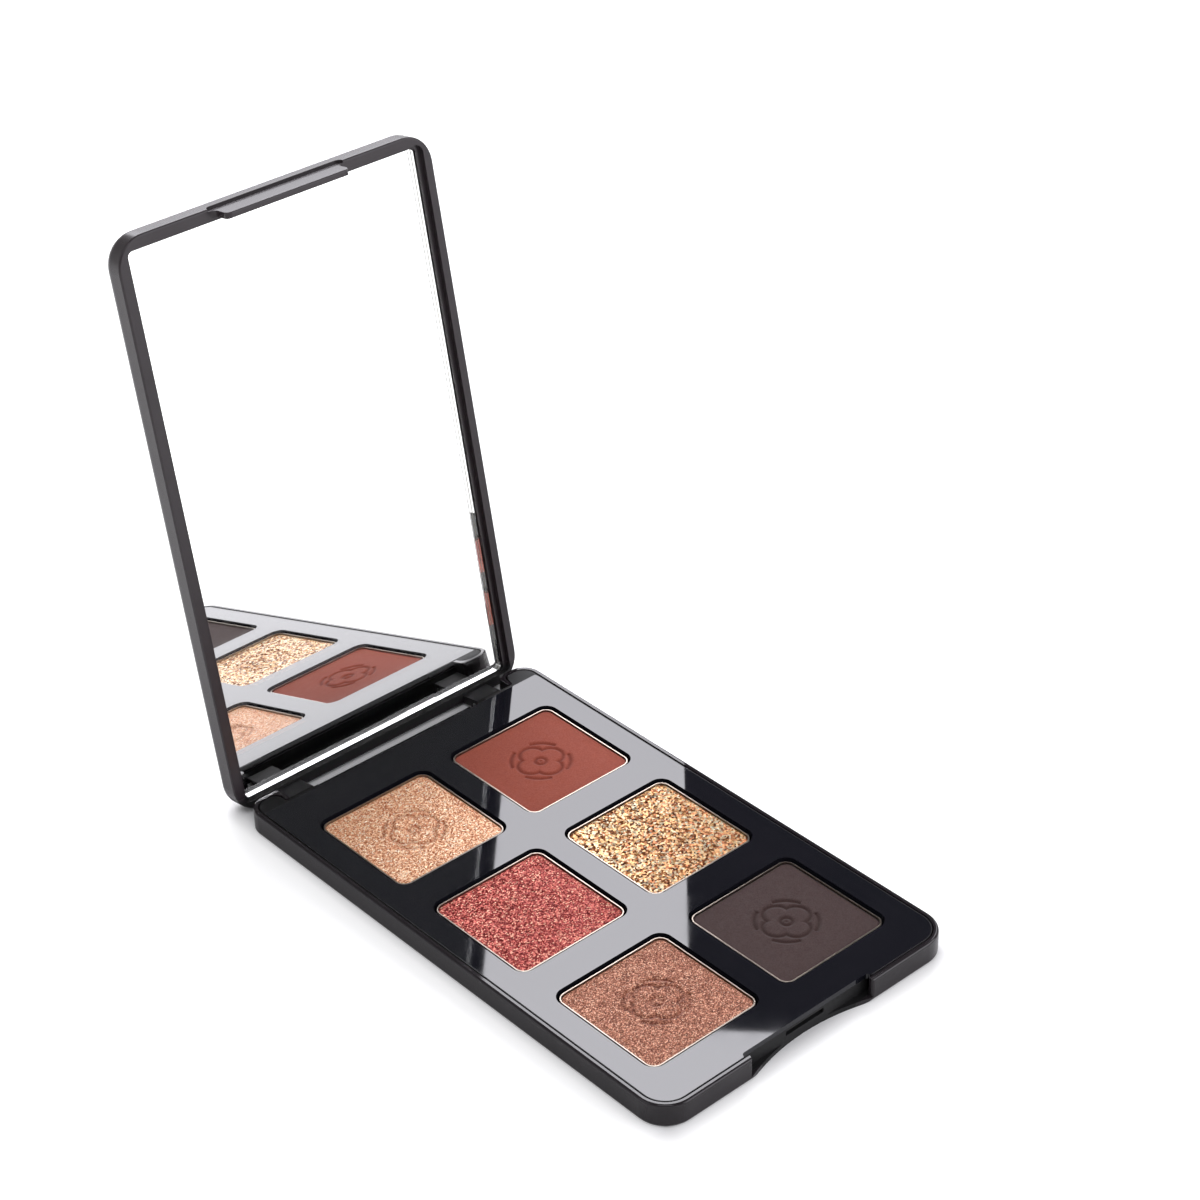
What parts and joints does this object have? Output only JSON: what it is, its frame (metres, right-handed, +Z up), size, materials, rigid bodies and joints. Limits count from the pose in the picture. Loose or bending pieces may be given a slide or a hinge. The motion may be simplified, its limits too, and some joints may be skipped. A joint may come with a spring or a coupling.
{
  "type": "eyeshadow palette",
  "caption": "Slim pressed-powder eyeshadow palette: square tin pans in a gloss plate, with a hinged lid that carries a mirror inside and a finger tab at its tip.",
  "frame": {"origin": "centre of the base's flat underside, with the lid left out", "axes": "+X along the hinge, +Y from the finger tab towards the hinge, +Z up out of the pans"},
  "size_m": [0.0754, 0.1541, 0.1229],
  "materials": {
    "shell": "moulded charcoal plastic with a soft-touch coat",
    "plate": "polished black",
    "cover": "fine matte charcoal",
    "pin": "drawn steel rod",
    "mirror": "back-silvered glass",
    "adhesive": "translucent double-sided adhesive",
    "pan": "drawn tinplate",
    "powder_front_left": "bronze shimmer pressed powder",
    "powder_front_right": "espresso matte pressed powder",
    "powder_middle_left": "rose shimmer pressed powder",
    "powder_middle_right": "gold glitter pressed powder",
    "powder_rear_left": "peach shimmer pressed powder",
    "powder_rear_right": "terracotta matte pressed powder"
  },
  "bodies": {
    "base": {"base_shell": "shell", "pan_plate": "plate", "hinge_pin_left": "pin", "hinge_pin_right": "pin", "pan_front_left": "pan", "pan_front_right": "pan", "pan_middle_left": "pan", "pan_middle_right": "pan", "pan_rear_left": "pan", "pan_rear_right": "pan", "powder_front_left": "powder_front_left", "powder_front_right": "powder_front_right", "powder_middle_left": "powder_middle_left", "powder_middle_right": "powder_middle_right", "powder_rear_left": "powder_rear_left", "powder_rear_right": "powder_rear_right", "dot_front_left": "adhesive", "dot_front_right": "adhesive", "dot_middle_left": "adhesive", "dot_middle_right": "adhesive", "dot_rear_left": "adhesive", "dot_rear_right": "adhesive"},
    "lid": {"lid_frame": "shell", "lid_cover": "cover", "cover_tape": "adhesive", "mirror_glass": "mirror", "mirror_tape": "adhesive"}
  },
  "joints": [
    {"name": "lid_hinge", "type": "hinge", "parent": "base", "child": "lid", "pos_m": [0, 0.0611, 0.00175], "axis": [1, 0, 0], "range_deg": [0, 100]}
  ]
}
